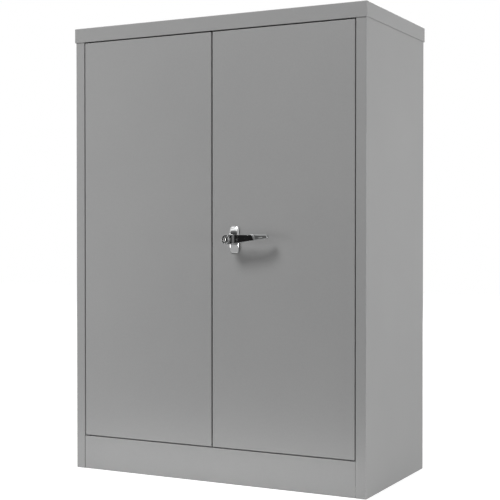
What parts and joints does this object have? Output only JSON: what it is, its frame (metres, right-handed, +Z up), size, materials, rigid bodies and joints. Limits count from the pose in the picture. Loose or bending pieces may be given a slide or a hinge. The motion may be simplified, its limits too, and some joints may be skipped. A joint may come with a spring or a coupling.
{
  "type": "tool cabinet with doors",
  "caption": "Sheet-steel tool cabinet with double hinged doors, lift-out shelves on slotted uprights and a lever lock that throws rods up and down.",
  "frame": {"origin": "on the floor, under the middle of the whole cabinet with its lever", "axes": "+X to the right as seen from the front, +Y to the back, +Z up"},
  "size_m": [0.854, 0.47, 1.2],
  "materials": {
    "grey_powder_coat": "fine-textured satin grey powder coat",
    "chrome_trim": "polished chrome plate",
    "zinc_plated_steel": "bright zinc plate",
    "nylon": "black nylon",
    "rubber": "black moulded rubber"
  },
  "bodies": {
    "cabinet": {"back_panel": "grey_powder_coat", "cap_stiffener": "grey_powder_coat", "deck": "grey_powder_coat", "deck_stiffener": "grey_powder_coat", "door_buffers": "rubber", "header_rail": "grey_powder_coat", "header_stop": "grey_powder_coat", "kick_panel": "grey_powder_coat", "pivot_bushes_left": "nylon", "pivot_bushes_right": "nylon", "shelf_1": "grey_powder_coat", "shelf_2": "grey_powder_coat", "shelf_3": "grey_powder_coat", "shelf_clips_1": "zinc_plated_steel", "shelf_clips_2": "zinc_plated_steel", "shelf_clips_3": "zinc_plated_steel", "shelf_stiffener_1": "grey_powder_coat", "shelf_stiffener_2": "grey_powder_coat", "shelf_stiffener_3": "grey_powder_coat", "side_panel_left": "grey_powder_coat", "side_panel_right": "grey_powder_coat", "top_cap": "grey_powder_coat", "upright_front_left": "grey_powder_coat", "upright_front_right": "grey_powder_coat", "upright_rear_left": "grey_powder_coat", "upright_rear_right": "grey_powder_coat"},
    "door_left": {"door_skin_left": "grey_powder_coat", "door_stiffener_left": "grey_powder_coat", "hinge_plates_left": "zinc_plated_steel", "pivot_pins_left": "zinc_plated_steel"},
    "door_right": {"door_skin_right": "grey_powder_coat", "door_stiffener_right": "grey_powder_coat", "escutcheon": "chrome_trim", "escutcheon_screws": "zinc_plated_steel", "hinge_plates_right": "zinc_plated_steel", "lock_backplate": "zinc_plated_steel", "pivot_pins_right": "zinc_plated_steel", "rod_guides": "nylon"},
    "handle": {"cam_screw": "zinc_plated_steel", "lever_handle": "chrome_trim", "lock_cam": "zinc_plated_steel", "lock_cylinder": "chrome_trim", "spindle": "zinc_plated_steel"},
    "key_plug": {"key_plug": "chrome_trim"},
    "rod_upper": {"rod_upper": "zinc_plated_steel"},
    "rod_lower": {"rod_lower": "zinc_plated_steel"}
  },
  "joints": [
    {"name": "door_left_swing", "type": "hinge", "parent": "cabinet", "child": "door_left", "pos_m": [-0.3875, -0.1815, 0.625], "axis": [0, 0, -1], "range_deg": [0, 110]},
    {"name": "door_right_swing", "type": "hinge", "parent": "cabinet", "child": "door_right", "pos_m": [0.3875, -0.1815, 0.625], "axis": [0, 0, 1], "range_deg": [0, 110]},
    {"name": "handle_turn", "type": "hinge", "parent": "door_right", "child": "handle", "pos_m": [0.067, -0.2, 0.626], "axis": [0, 1, 0], "range_deg": [0, 90]},
    {"name": "key_turn", "type": "hinge", "parent": "handle", "child": "key_plug", "pos_m": [0.067, -0.225, 0.626], "axis": [0, 1, 0], "range_deg": [0, 90]},
    {"name": "rod_upper_slide", "type": "slide", "parent": "door_right", "child": "rod_upper", "axis": [0, 0, 1], "range_m": [0, 0.02546]},
    {"name": "rod_lower_slide", "type": "slide", "parent": "door_right", "child": "rod_lower", "axis": [0, 0, -1], "range_m": [0, 0.02546]}
  ],
  "couplings": [
    {"joint": "rod_upper_slide", "follows": "handle_turn", "m_per_rad": 0.016206},
    {"joint": "rod_lower_slide", "follows": "handle_turn", "m_per_rad": 0.016206}
  ]
}
